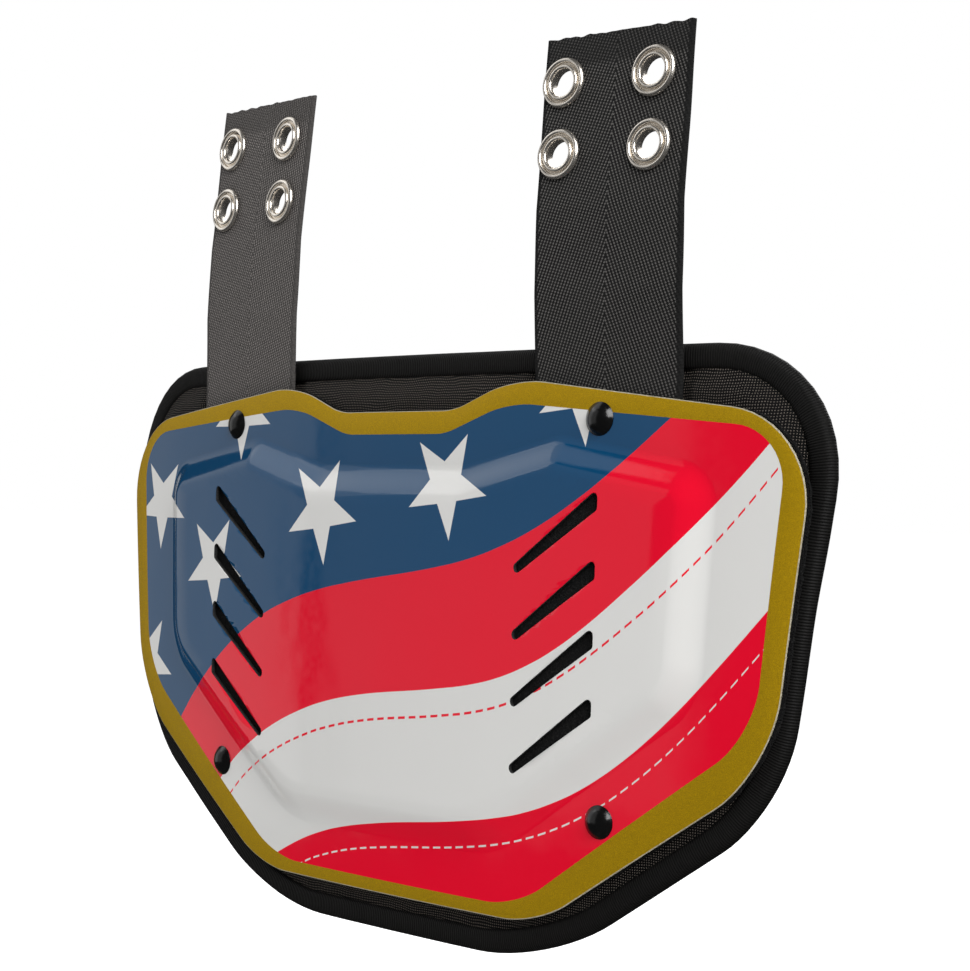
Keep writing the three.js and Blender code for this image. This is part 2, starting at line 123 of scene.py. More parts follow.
def sheet_normal(x, z):
    slope_x = 2 * SWEEP_DEPTH * x / SHELL_HALF_WIDTH**2
    slope_z = 2 * BOW_DEPTH * z / SHELL_LOW**2
    return Vector((slope_x, -1, slope_z)).normalized()


def smooth(low, high, value):
    share = min(max((value - low) / (high - low), 0), 1)
    return share * share * (3 - 2 * share)


# Right half of each outline from the top down: x, z and corner radius
SHELL_CORNERS = [(25.3, SHELL_TOP, 23), (48.4, SHELL_TOP + CREST_RISE, 44), (147.6, 59.9, 26),
                 (137.2, -32.5, 43), (61.6, -SHELL_LOW, 42)]
GOLD_CORNERS = [(22, 56.3, 20), (47, 65.2, 40), (139.6, 57.2, 16), (132.2, -23.4, 30), (54, -79.2, 36)]
FOOT_CORNERS = [(30.9, 47.4, 14), (66.9, 56.4, 14), (119.8, 47.4, 13), (116.4, -17, 22), (46, -66, 28)]
PAD_CORNERS = [(154.6, PAD_TOP, 37), (138.3, -43.1, 51), (61.9, -PAD_LOW, 85)]


def both_halves(corners):
    return corners + [(-x, z, radius) for x, z, radius in reversed(corners)]


def outline_face(bm, corners, spacing=2.5, like=None, arc_steps=12):
    """A flat face with rounded corners, facing -Y. Two outlines with the same number of corners
    and the same `like` get as many points, so that their loops can be bridged."""
    corners = both_halves(corners)
    like = both_halves(like) if like else corners
    face = bm.faces.new([bm.verts.new((x, 0, z)) for x, z, _ in corners])
    count = len(corners)
    straights = []
    for i, (x, z, radius) in enumerate(corners):
        here = Vector((x, z))
        before = Vector(corners[i - 1][:2])
        after = Vector(corners[(i + 1) % count][:2])
        turn = (here - before).angle(after - here)
        room = 0.48 * min((here - before).length, (after - here).length)
        reach = min(radius * math.tan(turn / 2), room)
        corner = min(face.verts, key=lambda v: (Vector((v.co.x, v.co.z)) - here).length)
        bmesh.ops.bevel(bm, geom=[corner], offset=reach, offset_type="OFFSET", segments=arc_steps,
                        profile=0.5, affect="VERTICES", material=-1)
        face = max(bm.faces[:], key=lambda f: (f.index == -1, len(f.verts))) if not face.is_valid else face
        master = Vector(like[(i + 1) % count][:2]) - Vector(like[i][:2])
        straights.append(((here + after) / 2, max(2, round(master.length / spacing))))
    for middle, cuts in straights:
        point = Vector((middle.x, 0, middle.y))
        edge = min(face.edges, key=lambda e: gap_to_segment(point, e.verts[0].co, e.verts[1].co))
        bmesh.ops.subdivide_edges(bm, edges=[edge], cuts=cuts)
    return face


def gap_to_segment(point, start, end):
    run = end - start
    share = min(max((point - start).dot(run) / max(run.length_squared, 1e-12), 0), 1)
    return (start + run * share - point).length


def ring_in(bm, face, width, depth=0):
    """Insets the face and moves it along Y. Returns the new ring's faces."""
    made = bmesh.ops.inset_individual(bm, faces=[face], thickness=width, use_even_offset=True)
    bmesh.ops.translate(bm, verts=face.verts[:], vec=(0, depth, 0))
    return made["faces"]


def shrink_in(bm, face, share):
    """As ring_in, but the face is scaled towards the panel's middle."""
    made = bmesh.ops.inset_individual(bm, faces=[face], thickness=1e-4)
    centre = Vector((0, 0, PANEL_MIDDLE_Z))
    bmesh.ops.scale(bm, verts=face.verts[:], vec=(share, 1, share), space=Matrix.Translation(-centre))
    return made["faces"]


def open_loop(bm, face):
    """Removes a face and keeps its edges as a loop."""
    edges = face.edges[:]
    bmesh.ops.delete(bm, geom=[face], context="FACES_ONLY")
    return edges


def slot_outline(row, shrink=0):
    """Corners of the right-hand slot of a row, as a convex run of points with cut corners."""
    outer_z = SLOT_TOP_Z - row * SLOT_PITCH
    inner_z = outer_z - SLOT_CLIMB
    inner = SLOT_INNER_HEIGHT / 2 - shrink
    outer = SLOT_OUTER_HEIGHT / 2 - shrink
    corners = [
        Vector((SLOT_INNER_X + shrink, inner_z + inner)), Vector((SLOT_OUTER_X - shrink, outer_z + outer)),
        Vector((SLOT_OUTER_X - shrink, outer_z - outer)), Vector((SLOT_INNER_X + shrink, inner_z - inner)),
    ]
    points = []
    for i, corner in enumerate(corners):
        to_last = (corners[i - 1] - corner).normalized()
        to_next = (corners[(i + 1) % 4] - corner).normalized()
        half = to_last.angle(to_next) / 2
        centre = corner + (to_last + to_next).normalized() * (SLOT_CORNER_RADIUS / math.sin(half))
        start = corner + to_last * (SLOT_CORNER_RADIUS / math.tan(half)) - centre
        sweep = math.pi - 2 * half
        for step in range(SLOT_ARC_STEPS + 1):
            points.append(centre + Matrix.Rotation(-sweep * step / SLOT_ARC_STEPS, 2) @ start)
    return points


def round_outline(centre, radius, sides=20):
    turns = [2 * math.pi * i / sides for i in range(sides)]
    return [centre + Vector((math.sin(turn), math.cos(turn))) * radius for turn in turns]


def cut_opening(bm, points):
    """Cuts a convex opening, given clockwise in X and Z, through a skin along Y."""
    centre = sum(points, Vector((0, 0))) / len(points)
    reach = max((point - centre).length for point in points)

    def near():
        found = []
        for face in bm.faces:
            middle = face.calc_center_median()
            size = max((v.co - middle).length for v in face.verts)
            if (Vector((middle.x, middle.z)) - centre).length < reach + size:
                found.append(face)
        return found

    faces = near()
    for i, point in enumerate(points):
        run = points[(i + 1) % len(points)] - point
        if run.length < 1e-6:
            continue
        normal = Vector((-run.y, 0, run.x))
        faces = [face for face in faces if face.is_valid]
        parts = set(faces)
        for face in faces:
            parts.update(face.edges)
            parts.update(face.verts)
        made = bmesh.ops.bisect_plane(bm, geom=list(parts), dist=1e-5,
                                      plane_co=(point.x, 0, point.y), plane_no=normal)
        faces = [part for part in made["geom"] if isinstance(part, bmesh.types.BMFace)]

    def inside(face):
        middle = face.calc_center_median()
        here = Vector((middle.x, middle.z))
        for i, point in enumerate(points):
            run = points[(i + 1) % len(points)] - point
            if run.length > 1e-6 and run.cross(here - point) > 0:
                return False
        return True

    doomed = [face for face in faces if face.is_valid and inside(face)]
    bmesh.ops.delete(bm, geom=doomed, context="FACES")


def mirrored(points):
    """The same opening on the left, still clockwise."""
    return [Vector((-point.x, point.y)) for point in reversed(points)]


def face_towards(bm, direction):
    bmesh.ops.recalc_face_normals(bm, faces=bm.faces[:])
    total = sum((face.normal * face.calc_area() for face in bm.faces), Vector())
    if total.dot(direction) < 0:
        bmesh.ops.reverse_faces(bm, faces=bm.faces[:])


def placed(bm):
    """From millimetres in the shell's frame to metres in the part's frame."""
    bmesh.ops.translate(bm, verts=bm.verts[:], vec=(0, -HANG_Y, -HANG_Z))
    bmesh.ops.scale(bm, verts=bm.verts[:], vec=(MM, MM, MM))


def piece(name, bm, materials, nodes, shade=True):
    placed(bm)
    mesh = bpy.data.meshes.new(name)
    bm.to_mesh(mesh)
    bm.free()
    for material in materials:
        mesh.materials.append(material)
    if shade:
        mesh.shade_smooth()
    made = bpy.data.objects.new(name, mesh)
    bpy.context.scene.collection.objects.link(made)
    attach(made, "root")
    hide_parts(*nodes)
    return made


# Materials, with the pitch of each weave

HOLE_PITCH = 1.55
RIB_PITCH = 0.8
FLOAT_PITCH = 1.15
PICK_PITCH = 0.9
SELVEDGE_AND_SHADE = 1.3
PRESSED_AND_SHADE_END = 7.5


class Finish:
    """A material and the few node helpers that its recipe needs."""

    def __init__(self, name):
        self.material = bpy.data.materials.new(name)
        self.material.use_nodes = True
        self.tree = self.material.node_tree
        self.shader = self.tree.nodes["Principled BSDF"]

    def node(self, kind, **settings):
        made = self.tree.nodes.new(kind)
        for key, value in settings.items():
            setattr(made, key, value)
        return made

    def feed(self, socket, value):
        if isinstance(value, bpy.types.NodeSocket):
            self.tree.links.new(value, socket)
        else:
            socket.default_value = value

    def set(self, **values):
        for key, value in values.items():
            self.feed(self.shader.inputs[key.replace("_", " ")], value)

    def math(self, operation, first, second=0.0, third=0.0, clamp=False):
        made = self.node("ShaderNodeMath", operation=operation, use_clamp=clamp)
        for socket, value in zip(made.inputs, (first, second, third)):
            self.feed(socket, value)
        return made.outputs[0]

    def mix(self, share, first, second):
        made = self.node("ShaderNodeMix", data_type="RGBA", clamp_factor=True)
        self.feed(made.inputs["Factor"], share)
        self.feed(made.inputs["A"], first)
        self.feed(made.inputs["B"], second)
        return made.outputs["Result"]

    def ramp(self, value, low, high):
        made = self.node("ShaderNodeMapRange", interpolation_type="SMOOTHSTEP")
        self.feed(made.inputs["Value"], value)
        made.inputs["From Min"].default_value = low
        made.inputs["From Max"].default_value = high
        return made.outputs["Result"]

    def noise(self, vector, scale, detail=2.0, roughness=0.5):
        made = self.node("ShaderNodeTexNoise")
        self.feed(made.inputs["Vector"], vector)
        made.inputs["Scale"].default_value = scale
        made.inputs["Detail"].default_value = detail
        made.inputs["Roughness"].default_value = roughness
        return made.outputs["Fac"]

    def place(self):
        """Object coordinates, in metres in the part's frame."""
        return self.node("ShaderNodeTexCoord").outputs["Object"]

    def millimetres(self):
        """X and Z in the shell's frame."""
        mapping = self.node("ShaderNodeMapping", vector_type="POINT")
        self.feed(mapping.inputs["Vector"], self.place())
        mapping.inputs["Location"].default_value = (0, HANG_Y, HANG_Z)
        mapping.inputs["Scale"].default_value = (1 / MM, 1 / MM, 1 / MM)
        split = self.node("ShaderNodeSeparateXYZ")
        self.feed(split.inputs[0], mapping.outputs[0])
        return mapping.outputs[0], split.outputs["X"], split.outputs["Z"]

    def bump(self, height, strength, distance):
        made = self.node("ShaderNodeBump")
        made.inputs["Strength"].default_value = strength
        made.inputs["Distance"].default_value = distance
        self.feed(made.inputs["Height"], height)
        return made.outputs["Normal"]


# The print, on the sheet before its panel is raised. Each line gives the height of a boundary: x, z
BLUE_TO_RED = [(-150, -86), (-113, -42.6), (-107.2, -35.9), (-100.9, -29.2), (-90.3, -19.6),
               (-82.6, -13.6), (-74.4, -8.2), (-61.4, -1.3), (-47.6, 3.9), (-33.3, 7.8), (-19, 10.6),
               (21.5, 17.1), (33.5, 19.8), (44.5, 23.3), (57.9, 29), (72.7, 37.4), (85.9, 46.5),
               (102.5, 59.5), (150, 98)]
RED_TO_WHITE = [(-150, -118), (-86.8, -59.3), (-79.1, -51.9), (-74.8, -48.4), (-65.6, -42.3),
                (-55.8, -36.9), (-40.3, -30.5), (-29.7, -27.2), (-13.9, -23.8), (21.3, -19.1), (35, -16.9),
                (47.5, -13.6), (58.9, -8.9), (65.9, -5.2), (75.5, 1), (92.7, 14.3), (105.6, 25.3),
                (115.2, 34.1), (124.2, 42.9), (132.7, 52), (150, 72)]
RED_DASHES = [(-150, -124), (-80.7, -63.3), (-72.4, -55.9), (-63.3, -49.6), (-53.5, -44.3), (-38.1, -38.1),
              (-27.5, -34.9), (-11.7, -31.5), (23.4, -26.9), (37, -24.7), (49.5, -21.3), (60.7, -16.6),
              (71.1, -10.9), (80.6, -4.7), (92.3, 3.9), (103.1, 12.5), (113, 21.4), (122.1, 30.4),
              (130.4, 39.6), (150, 63)]
WHITE_TO_RED = [(-150, -130), (-53.7, -78.3), (-39.6, -71.6), (-30.4, -68.2), (-21.4, -65.6),
                (-3.7, -62.1), (30.3, -57.4), (45.9, -54.6), (56.7, -51.8), (69.8, -46.7), (75.8, -43.7),
                (84.3, -38.6), (92.2, -33), (99.5, -27.1), (106.4, -20.9), (114.8, -12.5), (135.1, 9.7),
                (150, 27)]
WHITE_DASHES = [(-150, -146), (-38.8, -78.9), (-26.3, -74.4), (-13.8, -71.3), (-1.5, -69.2), (33.2, -64.6),
                (47.2, -62), (57, -59.3), (69.1, -54.7), (77.5, -50.6), (85.4, -46), (92.7, -40.9),
                (99.6, -35.6), (108.1, -28.2), (116, -20.5), (133.1, -1.8), (150, 18)]
# Stars, point down: centre x, z, radius and turn in degrees
STARS = [(-125.9, 34, 16.3, -1), (-77, 65, 16.6, 1), (-91, 14.1, 17, 5), (-32.9, 33, 17.6, 7),
         (23.2, 41.5, 16.8, 7), (73.5, 69, 16.6, 7), (-133, -21, 16.6, 3)]
# How far the print slides where the panel is raised by 1 mm: at the middle, and the change per mm
SLIDE_ACROSS = (-1.098, 0.00367)
SLIDE_DOWN = (-0.08, 0.0023)
CURVE_HALF_SPAN = 150
CURVE_LOW = -160
CURVE_HIGH = 140
STAR_NOTCH = 0.40
STAR_EDGE = 0.004
DASH_PITCH = 4.65
DASH_SHARE = 0.64
DASH_EDGE = 0.12
RED_DASH_HALF_WIDTH = 0.39
WHITE_DASH_HALF_WIDTH = 0.27

BLUE = (0.0, 0.055, 0.145, 1)
RED = (0.80, 0.002, 0.024, 1)
WHITE = (0.74, 0.735, 0.715, 1)


def curve_of(finish, line, across):
    """A Float Curve through a line's points, read at a place across the shell."""
    made = finish.node("ShaderNodeFloatCurve")
    curve = made.mapping.curves[0]
    span = CURVE_HIGH - CURVE_LOW
    places = [((x + CURVE_HALF_SPAN) / (2 * CURVE_HALF_SPAN), (z - CURVE_LOW) / span) for x, z in line]
    curve.points[0].location = places[0]
    curve.points[1].location = places[-1]
    for spot in places[1:-1]:
        curve.points.new(*spot)
    made.mapping.update()
    finish.feed(made.inputs["Value"], across)
    return finish.math("MULTIPLY_ADD", made.outputs[0], span, CURVE_LOW)


def star_group():
    """Mask of a star of radius 1 with a point down, from coordinates centred on it."""
    group = bpy.data.node_groups.new("Star", "ShaderNodeTree")
    group.interface.new_socket("Vector", in_out="INPUT", socket_type="NodeSocketVector")
    group.interface.new_socket("Inside", in_out="OUTPUT", socket_type="NodeSocketFloat")
    start = group.nodes.new("NodeGroupInput")
    end = group.nodes.new("NodeGroupOutput")

    def math_node(operation, first, second=0.0, third=0.0):
        made = group.nodes.new("ShaderNodeMath")
        made.operation = operation
        for socket, value in zip(made.inputs, (first, second, third)):
            if isinstance(value, bpy.types.NodeSocket):
                group.links.new(value, socket)
            else:
                socket.default_value = value
        return made.outputs[0]

    split = group.nodes.new("ShaderNodeSeparateXYZ")
    group.links.new(start.outputs[0], split.inputs[0])
    x, z = split.outputs["X"], split.outputs["Z"]
    length = group.nodes.new("ShaderNodeVectorMath")
    length.operation = "LENGTH"
    flat = group.nodes.new("ShaderNodeCombineXYZ")
    group.links.new(x, flat.inputs["X"])
    group.links.new(z, flat.inputs["Z"])
    group.links.new(flat.outputs[0], length.inputs[0])
    radius = length.outputs["Value"]
    fifth = 2 * math.pi / 5
    angle = math_node("ARCTAN2", x, math_node("MULTIPLY", z, -1.0))
    folded = math_node("ABSOLUTE", math_node("WRAP", angle, fifth / 2, -fifth / 2))
    along = math_node("MULTIPLY", radius, math_node("COSINE", folded))
    across = math_node("MULTIPLY", radius, math_node("SINE", folded))
    edge_along = STAR_NOTCH * math.cos(fifth / 2) - 1
    edge_across = STAR_NOTCH * math.sin(fifth / 2)
    first = math_node("MULTIPLY", across, edge_along)
    second = math_node("MULTIPLY_ADD", along, edge_across, -edge_across)
    signed = math_node("SUBTRACT", first, second)
    ranged = group.nodes.new("ShaderNodeMapRange")
    ranged.interpolation_type = "SMOOTHSTEP"
    ranged.inputs["From Min"].default_value = -STAR_EDGE
    ranged.inputs["From Max"].default_value = STAR_EDGE
    group.links.new(signed, ranged.inputs["Value"])
    group.links.new(ranged.outputs["Result"], end.inputs[0])
    return group


def dashes(finish, across, height, line, half_width):
    """Mask of a dashed seam line along a curve."""
    offset = finish.math("SUBTRACT", height, curve_of(finish, line, across))
    travelled = 0.0
    lengths = [(line[0][0], 0.0)]
    for (x0, z0), (x1, z1) in zip(line, line[1:]):
        travelled += math.hypot(x1 - x0, z1 - z0)
        lengths.append((x1, travelled))
    scale = (CURVE_HIGH - CURVE_LOW) / travelled
    scaled = [(x, CURVE_LOW + length * scale) for x, length in lengths]
    along = finish.math("DIVIDE", finish.math("SUBTRACT", curve_of(finish, scaled, across), CURVE_LOW), scale)
    phase = finish.math("FRACT", finish.math("DIVIDE", along, DASH_PITCH))
    centred = finish.math("ABSOLUTE", finish.math("SUBTRACT", phase, 0.5))
    drawn = finish.ramp(centred, DASH_SHARE / 2 + 0.02, DASH_SHARE / 2 - 0.02)
    thin = finish.ramp(finish.math("ABSOLUTE", offset), half_width + DASH_EDGE, half_width - DASH_EDGE)
    return finish.math("MULTIPLY", drawn, thin)


def on_flat_sheet(finish):
    """The place on the printed sheet as it was before the panel was raised out of it."""
    vector, x, z = finish.millimetres()
    split = finish.node("ShaderNodeSeparateXYZ")
    finish.feed(split.inputs[0], vector)
    sweep = finish.math("MULTIPLY", finish.math("MULTIPLY", x, x), SWEEP_DEPTH / SHELL_HALF_WIDTH**2)
    bow = finish.math("MULTIPLY", finish.math("MULTIPLY", z, z), BOW_DEPTH / SHELL_LOW**2)
    raised = finish.math("SUBTRACT", finish.math("ADD", sweep, bow), split.outputs["Y"])
    flat = finish.node("ShaderNodeCombineXYZ")
    for name, place, (middle, change) in (("X", x, SLIDE_ACROSS), ("Z", z, SLIDE_DOWN)):
        slide = finish.math("MULTIPLY_ADD", place, change, middle)
        place = finish.math("MULTIPLY_ADD", raised, slide, place)
        finish.feed(flat.inputs[name], place)
    split_flat = finish.node("ShaderNodeSeparateXYZ")
    finish.feed(split_flat.inputs[0], flat.outputs[0])
    return flat.outputs[0], split_flat.outputs["X"], split_flat.outputs["Z"]


def print_finish():
    finish = Finish("Glossy print")
    vector, x, z = on_flat_sheet(finish)
    across = finish.math("DIVIDE", finish.math("ADD", x, CURVE_HALF_SPAN), 2 * CURVE_HALF_SPAN)

    def below(line):
        return finish.ramp(finish.math("SUBTRACT", z, curve_of(finish, line, across)), 0.1, -0.1)

    group = star_group()
    stars = 0.0
    for centre_x, centre_z, radius, turn in STARS:
        mapping = finish.node("ShaderNodeMapping", vector_type="TEXTURE")
        finish.feed(mapping.inputs["Vector"], vector)
        mapping.inputs["Location"].default_value = (centre_x, 0, centre_z)
        mapping.inputs["Rotation"].default_value = (0, -math.radians(turn), 0)
        mapping.inputs["Scale"].default_value = (radius, 1000, radius)
        star = finish.node("ShaderNodeGroup")
        star.node_tree = group
        finish.feed(star.inputs[0], mapping.outputs[0])
        stars = finish.math("MAXIMUM", stars, star.outputs[0])
    under_blue = below(BLUE_TO_RED)
    colour = finish.mix(stars, BLUE, WHITE)
    colour = finish.mix(under_blue, colour, RED)
    colour = finish.mix(below(RED_TO_WHITE), colour, WHITE)
    colour = finish.mix(dashes(finish, across, z, RED_DASHES, RED_DASH_HALF_WIDTH), colour, RED)
    colour = finish.mix(below(WHITE_TO_RED), colour, RED)
    colour = finish.mix(dashes(finish, across, z, WHITE_DASHES, WHITE_DASH_HALF_WIDTH), colour, WHITE)
    mottle = finish.noise(vector, 0.03, 3.0)
    worn = finish.mix(finish.math("MULTIPLY", mottle, 0.012), colour, (0.4, 0.4, 0.4, 1))
    waves = finish.noise(vector, 0.045, 1.5)
    finish.set(Base_Color=worn, Roughness=finish.ramp(finish.noise(vector, 0.4, 4.0), -0.6, 5.0))
    finish.set(Normal=finish.bump(waves, 0.25, 0.0012), IOR=1.46)
    return finish.material


def gold_finish():
    finish = Finish("Gold border")
    vector, _, _ = finish.millimetres()
    speckle = finish.noise(vector, 4.5, 2.0, 0.7)
    cloud = finish.noise(vector, 0.05, 2.0)
    base = finish.mix(finish.ramp(speckle, 0.38, 0.64), (0.38, 0.225, 0.001, 1), (0.62, 0.395, 0.003, 1))
    base = finish.mix(finish.math("MULTIPLY", cloud, 0.25), base, (0.43, 0.27, 0.001, 1))
    finish.set(Base_Color=base, Metallic=0.55, Roughness=finish.ramp(speckle, -0.7, 1.4), IOR=1.4)
    finish.set(Normal=finish.bump(speckle, 0.12, 0.0002))
    return finish.material


def edge_finish():
    finish = Finish("Cut sheet edge")
    vector, _, _ = finish.millimetres()
    grain = finish.noise(vector, 1.6, 4.0, 0.7)
    base = finish.mix(finish.ramp(grain, 0.3, 0.7), (0.28, 0.25, 0.16, 1), (0.55, 0.50, 0.38, 1))
    finish.set(Base_Color=base, Roughness=0.45, Normal=finish.bump(grain, 0.4, 0.0003))
    return finish.material


def core_finish():
    finish = Finish("Dark sheet core")
    vector, _, _ = finish.millimetres()
    grain = finish.noise(vector, 2.2, 5.0, 0.75)
    base = finish.mix(finish.ramp(grain, 0.42, 0.8), (0.008, 0.008, 0.008, 1), (0.07, 0.07, 0.07, 1))
    finish.set(Base_Color=base, Roughness=0.8, Normal=finish.bump(grain, 0.8, 0.0006))
    return finish.material


def foam_finish():
    finish = Finish("Closed-cell foam")
    vector, _, _ = finish.millimetres()
    cells = finish.node("ShaderNodeTexVoronoi", feature="F1")
    finish.feed(cells.inputs["Vector"], vector)
    cells.inputs["Scale"].default_value = 2.2
    grain = finish.noise(vector, 1.4, 5.0, 0.8)
    height = finish.math("ADD", cells.outputs["Distance"], grain)
    base = finish.mix(finish.ramp(grain, 0.5, 0.85), (0.006, 0.006, 0.006, 1), (0.06, 0.058, 0.055, 1))
    finish.set(Base_Color=base, Roughness=0.92, Normal=finish.bump(height, 0.9, 0.0008))
    finish.set(Specular_IOR_Level=0.25)
    return finish.material


def mesh_finish():
    """Knitted mesh cloth: small holes in staggered rows."""
    finish = Finish("Mesh cloth")
    vector, x, z = finish.millimetres()
    wander = finish.noise(vector, 0.08, 2.0)
    warp = finish.math("MULTIPLY", finish.math("SUBTRACT", wander, 0.5), 2.4)
    first = finish.math("ADD", finish.math("ADD", x, z), warp)
    second = finish.math("SUBTRACT", finish.math("SUBTRACT", x, z), warp)
    pitch = 2 * math.pi / HOLE_PITCH
    waves_one = finish.math("SINE", finish.math("MULTIPLY", first, pitch))
    waves_two = finish.math("SINE", finish.math("MULTIPLY", second, pitch))
    height = finish.math("MULTIPLY", waves_one, waves_two)
    threads = finish.noise(vector, 4.5, 3.0, 0.7)
    holes = finish.ramp(finish.math("MULTIPLY_ADD", threads, 0.5, height), 0.5, 1.0)
    base = finish.mix(holes, (0.001, 0.001, 0.001, 1), (0.13, 0.112, 0.096, 1))
    finish.set(Base_Color=base, Roughness=0.7, Normal=finish.bump(holes, 0.7, 0.0004))
    finish.set(Specular_IOR_Level=0.16)
    return finish.material


def tape_finish():
    """Binding with fine cross ribs, from the along-the-edge UV in millimetres."""
    finish = Finish("Ribbed binding")
    vector, _, _ = finish.millimetres()
    uv = finish.node("ShaderNodeUVMap", uv_map="along").outputs[0]
    split = finish.node("ShaderNodeSeparateXYZ")
    finish.feed(split.inputs[0], uv)
    ribs = finish.math("SINE", finish.math("MULTIPLY", split.outputs["X"], 2 * math.pi / RIB_PITCH))
    fibre = finish.noise(vector, 1.1, 4.0, 0.7)
    creases = finish.noise(vector, 0.11, 3.0, 0.6)
    height = finish.math("MULTIPLY_ADD", fibre, 1.2, ribs)
    base = finish.mix(finish.ramp(height, -0.6, 1.9), (0.002, 0.0019, 0.0018, 1), (0.0095, 0.009, 0.0084, 1))
    bumped = finish.math("MULTIPLY_ADD", creases, 4.0, height)
    finish.set(Base_Color=base, Roughness=0.6, Normal=finish.bump(bumped, 0.35, 0.0003))
    finish.set(Specular_IOR_Level=0.14)
    return finish.material


def webbing_finish(name, top, gap_colour, float_colour):
    """Webbing with slanting floats in lengthwise zones, from its own UV in millimetres."""
    finish = Finish(name)
    uv = finish.node("ShaderNodeUVMap", uv_map="weave").outputs[0]
    split = finish.node("ShaderNodeSeparateXYZ")
    finish.feed(split.inputs[0], uv)
    across, along = split.outputs["X"], split.outputs["Y"]
    zone = finish.math("PINGPONG", finish.math("ADD", across, STRAP_WIDTH), STRAP_WIDTH / 2)
    lean = finish.math("MULTIPLY_ADD", along, 0.42, zone)
    rows = finish.math("SINE", finish.math("MULTIPLY", lean, 2 * math.pi / FLOAT_PITCH))
    step = finish.math("MULTIPLY_ADD", zone, -0.25, along)
    picks = finish.math("SINE", finish.math("MULTIPLY", step, 2 * math.pi / PICK_PITCH))
    fuzz = finish.noise(uv, 1.9, 3.0, 0.7)
    patches = finish.noise(uv, 0.09, 2.0)
    height = finish.math("MULTIPLY_ADD", picks, 0.6, rows)
    height = finish.math("MULTIPLY_ADD", fuzz, 0.7, height)
    floats = finish.ramp(height, 0.4, 1.5)
    edge = finish.math("ABSOLUTE", across)
    # Along both edges the floats are dimmed: a smooth dark selvedge, with painted shade where the edge turns
    # away from the light.
    selvedge_and_shade = finish.ramp(edge, STRAP_WIDTH / 2 - SELVEDGE_AND_SHADE - 0.5, STRAP_WIDTH / 2 - SELVEDGE_AND_SHADE)
    # Over the top end the floats are dimmed and the weave made rougher: pressed weave, with painted shade for
    # the darker band across the strap's top.
    pressed_and_shade = finish.math("MULTIPLY", finish.ramp(along, top - PRESSED_AND_SHADE_END - 2, top - PRESSED_AND_SHADE_END), 0.55)
    quiet = finish.math("MAXIMUM", selvedge_and_shade, pressed_and_shade)
    shown = finish.math("MULTIPLY", floats, finish.math("SUBTRACT", 1.0, quiet))
    base = finish.mix(shown, gap_colour, float_colour)
    shine = finish.math("MULTIPLY_ADD", shown, -0.6, 0.85)
    finish.set(Base_Color=base, Roughness=finish.math("MULTIPLY_ADD", patches, 0.16, shine), IOR=1.48)
    finish.set(Normal=finish.bump(height, 0.4, 0.0002))
    return finish.material


def nickel_finish():
    finish = Finish("Polished nickel")
    vector, _, _ = finish.millimetres()
    scratches = finish.noise(vector, 0.5, 3.0, 0.6)
    base = finish.mix(scratches, (0.76, 0.70, 0.62, 1), (0.90, 0.85, 0.78, 1))
    finish.set(Base_Color=base, Metallic=0.95, Roughness=finish.math("MULTIPLY_ADD", scratches, 0.06, 0.23))
    return finish.material


def rivet_finish():
    finish = Finish("Black lacquered rivet")
    vector, _, _ = finish.millimetres()
    wear = finish.noise(vector, 0.9, 5.0, 0.7)
    base = finish.mix(finish.ramp(wear, 0.62, 0.8), (0.004, 0.004, 0.004, 1), (0.03, 0.03, 0.03, 1))
    finish.set(Base_Color=base, Roughness=finish.ramp(wear, -0.4, 3.0), IOR=1.5)
    finish.set(Normal=finish.bump(wear, 0.12, 0.0003))
    return finish.material


# Colours between and on the floats. The left strap's colours are lighter than the right one's: painted sheen,
# standing in for the grazing light that the left strap catches on the same webbing.
YARN_COLOURS_AND_PAINTED_SHEEN = {
    # left: painted sheen, a lighter copy of the webbing's colours
    "left": ((0.062, 0.057, 0.054, 1), (0.220, 0.199, 0.188, 1)),
    "right": ((0.002, 0.0019, 0.0018, 1), (0.106, 0.100, 0.094, 1)),
}

FINISHES = {
    "print": print_finish(), "gold": gold_finish(), "edge": edge_finish(), "core": core_finish(),
    "foam": foam_finish(), "mesh": mesh_finish(), "tape": tape_finish(), "nickel": nickel_finish(),
    "rivet": rivet_finish(),
}


def step_rise(share):
    """Height of the step at a share of its width: a slope with a soft foot and a soft top."""
    return PANEL_RISE * (0.35 * share + 0.65 * smooth(0, 1, share))


def raised_panel(bm, face, steps=STEP_RINGS):
    """Insets a step and a panel into the step's foot, bulging towards -Y."""
    ring_in(bm, face, STEP_LIP)
    for i in range(steps):
        rise = step_rise((i + 1) / steps) - step_rise(i / steps)
        ring_in(bm, face, STEP_WIDTH / steps, -rise)
    kept = 1.0
    for share in (0.93, 0.86, 0.78, 0.7, 0.62, 0.54, 0.46, 0.38, 0.3, 0.22, 0.14, 0.06):
        shrink_in(bm, face, share / kept)
        kept = share
    bmesh.ops.poke(bm, faces=[face])


def bend(bm):
    """Lays flat work on the curved sheet."""
    for vert in bm.verts:
        vert.co.y += behind(vert.co.x, vert.co.z)


def widen_rim(bm, share, depth):
    """Grows the open outer edge outwards by a share of its rounding and moves it back."""
    border = [edge for edge in bm.edges if edge.is_boundary]
    made = bmesh.ops.extrude_edge_only(bm, edges=border)["geom"]
    verts = [part for part in made if isinstance(part, bmesh.types.BMVert)]
    wide = 1 + share * SHELL_ROUNDING / SHELL_HALF_WIDTH
    tall = 1 + share * SHELL_ROUNDING / SHELL_LOW
    bmesh.ops.scale(bm, verts=verts, vec=(wide, 1, tall))
    bmesh.ops.translate(bm, verts=verts, vec=(0, depth * SHELL_ROUNDING, 0))
    for part in made:
        if isinstance(part, bmesh.types.BMFace):
            part.material_index = 2


